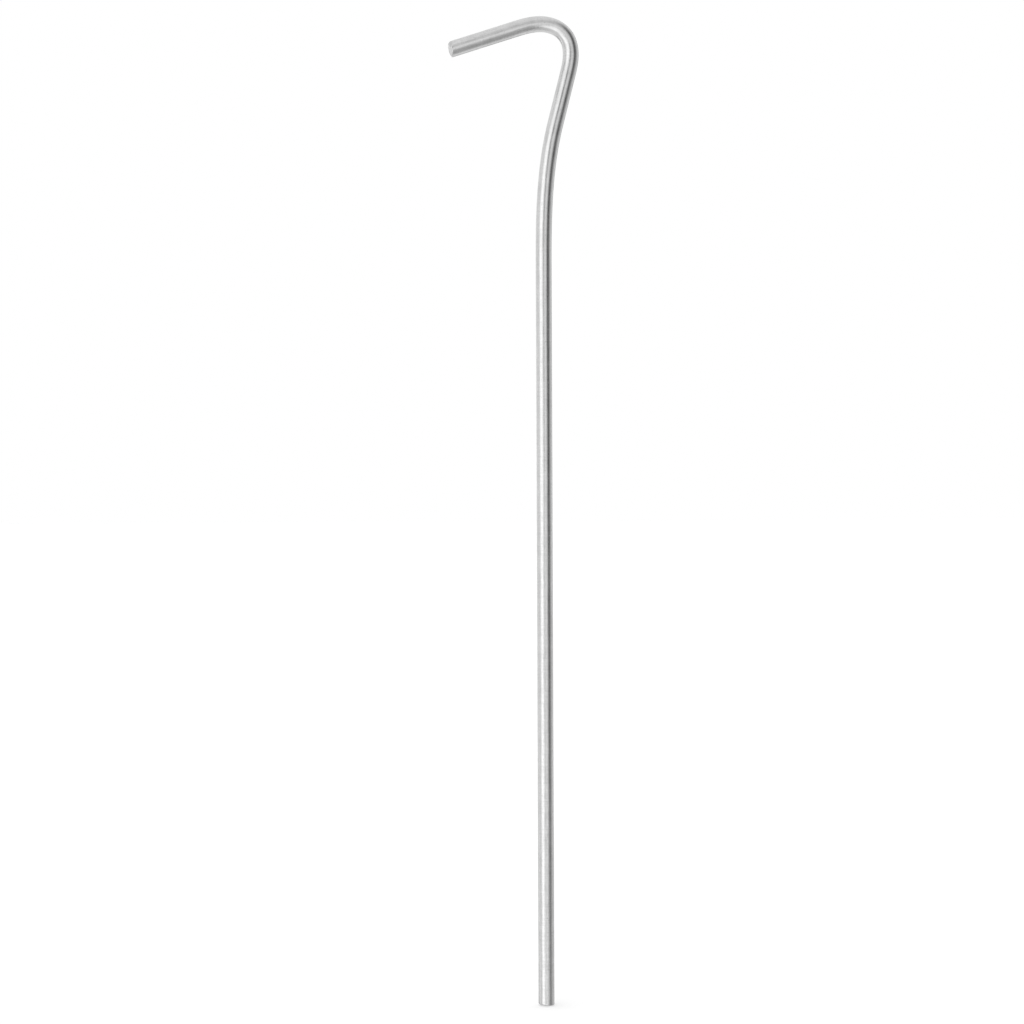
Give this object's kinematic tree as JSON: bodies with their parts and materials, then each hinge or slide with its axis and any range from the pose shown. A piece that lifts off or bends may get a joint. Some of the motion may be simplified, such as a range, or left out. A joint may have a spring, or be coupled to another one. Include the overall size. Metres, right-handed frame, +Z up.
{
  "type": "tent stake",
  "caption": "Straight round steel rod peg whose top is set slightly back and bent over into an open hook, with square-cut ends.",
  "frame": {"origin": "centre of the tip's flat end face, on the axis of the straight shaft", "axes": "+Z up along the shaft, from the tip to the hook; -X the way the hook's arm points; Y across the plane in which the rod is bent"},
  "size_m": [0.0336, 0.004, 0.25],
  "materials": {
    "zinc_plated_steel": "satin bright zinc plating"
  },
  "bodies": {
    "root": {"stake_rod": "zinc_plated_steel"}
  },
  "joints": []
}
